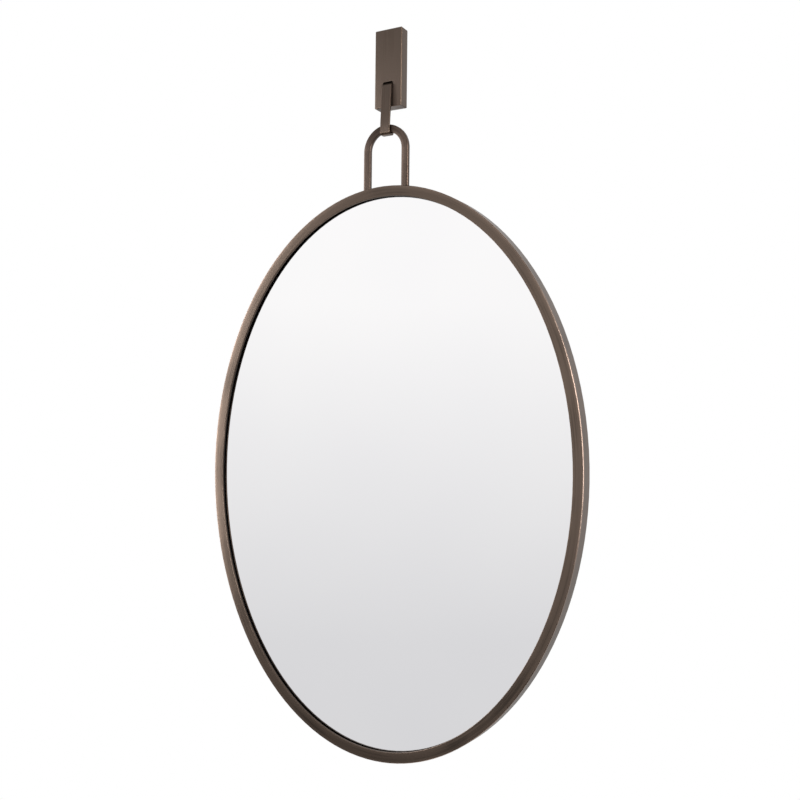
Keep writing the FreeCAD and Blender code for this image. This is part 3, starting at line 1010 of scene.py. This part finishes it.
@dataclass(frozen=True)
class SoftLamp:
    """A soft rectangular lamp."""

    name: str
    at: Point
    size: tuple[float, float]
    watts: float

    def hang(self, aim: Point) -> bpy.types.Object:
        """Hang the lamp so that it faces a point.

        Args:
            aim: Point that it faces.

        Returns:
            The lamp.
        """
        data = bpy.data.lights.new(self.name, "AREA")
        data.shape = "RECTANGLE"
        data.size, data.size_y = self.size
        data.energy = self.watts
        lamp = bpy.data.objects.new(self.name, data)
        away = Vector(self.at) - Vector(aim)
        lamp.matrix_world = Matrix.Translation(self.at) @ away.to_track_quat("Z", "Y").to_matrix().to_4x4()
        bpy.context.scene.collection.objects.link(lamp)
        return lamp


@dataclass
class Studio:
    """Camera, lamps, surround and floor.

    Stops of the surround are set by climb, from 0 straight down to 1 straight up. Those of the shade on
    the camera's side are set by the cosine of the angle to it.
    """

    camera_at: Point = (0.6805, -1.2034, -0.5026)
    camera_turn_deg: Point = (92.232, -0.595, 28.927)
    lens_mm: float = 46.156
    sensor_mm: float = 36.0
    clip: tuple[float, float] = (0.01, 100.0)
    floor_below: float = 2.6
    floor_span: float = 1.8
    floor_colour: str = "#f2f2f1"
    aim: Point = (0.0, 0.0, -0.544)
    lamps: tuple[SoftLamp, ...] = (
        SoftLamp("left_softbox", (-2.15, -1.42, -0.16), (0.8, 1.9), 40.0),
        SoftLamp("right_strip", (2.2, -1.1, -0.1), (0.5, 1.8), 60.0),
    )
    camera_side: Point = (0.5, -0.866, 0.0)
    side_shade: Stops = ((0.38, grey(1.0)), (0.68, grey(0.94)), (0.8, grey(0.75)), (0.95, grey(0.03)))
    front_band: Stops = (
        (0.33, grey(0.03)),
        (0.38, grey(0.2)),
        (0.43, grey(0.85)),
        (0.474, grey(1.06)),
        (0.671, grey(1.0)),
        (0.75, grey(0.7)),
        (0.835, grey(0.1)),
    )
    rear_wall: Stops = ((0.25, grey(0.832)), (0.47, grey(1.04)))
    rear_blend: tuple[float, float] = (0.0, 0.35)
    glass_sweep: Stops = (
        (0.15, grey(1.0)),
        (0.335, (0.7, 0.704, 0.718, 1.0)),
        (0.36, (0.7, 0.704, 0.718, 1.0)),
        (0.405, (0.72, 0.724, 0.737, 1.0)),
        (0.565, grey(0.98)),
        (0.6, grey(0.993)),
    )

    def set_camera(self) -> None:
        """Stand the camera where the photograph was taken from, right of the mirror at mid-height."""
        data = bpy.data.cameras.new("photo_camera")
        data.lens = self.lens_mm
        data.sensor_width = self.sensor_mm
        data.sensor_fit = "HORIZONTAL"
        data.clip_start, data.clip_end = self.clip
        camera = bpy.data.objects.new("photo_camera", data)
        camera.location = self.camera_at
        camera.rotation_euler = [math.radians(turn) for turn in self.camera_turn_deg]
        bpy.context.scene.collection.objects.link(camera)
        bpy.context.scene.camera = camera

    def set_world(self) -> None:
        """White to the camera, a pale sweep to the glass, and a lit band between dark flags to the rest."""
        world = bpy.data.worlds.new("studio_surround")
        bpy.context.scene.world = world
        world.use_nodes = True
        tree = world.node_tree
        tree.nodes.clear()
        toward = add_node(tree, "ShaderNodeTexCoord").outputs["Generated"]
        axes = add_node(tree, "ShaderNodeSeparateXYZ", {"Vector": toward})
        climb = add_node(tree, "ShaderNodeMapRange", {"Value": axes.outputs["Z"]}, {"From Min": -1.0})
        height = {"Fac": climb.outputs["Result"]}
        band = add_node(tree, "ShaderNodeValToRGB", height, stops=self.front_band)
        beside = add_node(
            tree, "ShaderNodeVectorMath", {0: toward}, {1: self.camera_side}, operation="DOT_PRODUCT"
        )
        shade = add_node(tree, "ShaderNodeValToRGB", {"Fac": beside.outputs["Value"]}, stops=self.side_shade)
        front = add_node(
            tree,
            "ShaderNodeMix",
            {6: band.outputs["Color"], 7: shade.outputs["Color"]},
            {0: 1.0},
            data_type="RGBA",
            blend_type="MULTIPLY",
        )
        nearest, farthest = self.rear_blend
        behind = add_node(
            tree, "ShaderNodeMapRange", {"Value": axes.outputs["Y"]}, {"From Min": nearest, "From Max": farthest}
        )
        wall = add_node(tree, "ShaderNodeValToRGB", height, stops=self.rear_wall)
        room = add_node(
            tree,
            "ShaderNodeMix",
            {0: behind.outputs["Result"], 6: front.outputs[2], 7: wall.outputs["Color"]},
            data_type="RGBA",
        )
        sweep = add_node(tree, "ShaderNodeValToRGB", height, stops=self.glass_sweep)
        lit = add_node(tree, "ShaderNodeBackground", {"Color": room.outputs[2]}, {"Strength": 1.0})
        glazed = add_node(tree, "ShaderNodeBackground", {"Color": sweep.outputs["Color"]}, {"Strength": 1.0})
        white = add_node(tree, "ShaderNodeBackground", values={"Color": grey(1.0), "Strength": 1.0})
        path = add_node(tree, "ShaderNodeLightPath")
        mirrored = add_node(
            tree,
            "ShaderNodeMixShader",
            {0: path.outputs["Is Singular Ray"], 1: lit.outputs["Background"], 2: glazed.outputs["Background"]},
        )
        shown = add_node(
            tree,
            "ShaderNodeMixShader",
            {0: path.outputs["Is Camera Ray"], 1: mirrored.outputs["Shader"], 2: white.outputs["Background"]},
        )
        add_node(tree, "ShaderNodeOutputWorld", {"Surface": shown.outputs["Shader"]})

    def lay_floor(self) -> None:
        """Plain pale floor at a room's depth below the mirror, white to the camera."""
        deselect_all()
        bpy.ops.mesh.primitive_plane_add(size=self.floor_span, location=(0.0, 0.0, -self.floor_below))
        floor = bpy.context.object
        floor.name = "studio_floor"
        bpy.ops.object.transform_apply(location=True)
        material = bpy.data.materials.new("pale_floor_paint")
        material.use_nodes = True
        tree = material.node_tree
        tree.nodes.clear()
        paint = add_node(
            tree, "ShaderNodeBsdfDiffuse", values={"Color": linear(self.floor_colour), "Roughness": 0.9}
        )
        glow = add_node(tree, "ShaderNodeEmission", values={"Color": grey(1.0), "Strength": 1.0})
        path = add_node(tree, "ShaderNodeLightPath")
        shown = add_node(
            tree,
            "ShaderNodeMixShader",
            {0: path.outputs["Is Camera Ray"], 1: paint.outputs["BSDF"], 2: glow.outputs["Emission"]},
        )
        add_node(tree, "ShaderNodeOutputMaterial", {"Surface": shown.outputs["Shader"]})
        wear(floor, material)

    def build(self, pane: bpy.types.Object) -> None:
        """Set up the whole studio, with lamps that light the metal and don't show in the mirror.

        Args:
            pane: Mirror's glass.
        """
        bpy.context.scene.view_settings.view_transform = "Standard"
        self.set_camera()
        self.set_world()
        self.lay_floor()
        flagged = bpy.data.collections.new("flagged_from_lamps")
        flagged.objects.link(pane)
        flagged.collection_objects[0].light_linking.link_state = "EXCLUDE"
        for lamp in self.lamps:
            lamp.hang(self.aim).light_linking.receiver_collection = flagged


def main() -> None:
    """Dress the solids, add the fittings and set up the studio."""
    logging.basicConfig(level=logging.INFO, format="%(message)s")
    dresser = SolidsDresser()
    dresser.mix()
    dresser.dress()
    for bronze in bronze_pieces():
        bronze.build()
    pane = MirrorPane().build(dresser.materials[Slot.SILVER])
    PanScrews().build(dresser.materials[Slot.ZINC])
    WallBumpers().build(dresser.materials[Slot.RUBBER])
    GrubScrews().build(dresser.materials[Slot.BLACK])
    Studio().build(pane)


if __name__ == "__main__":
    main()
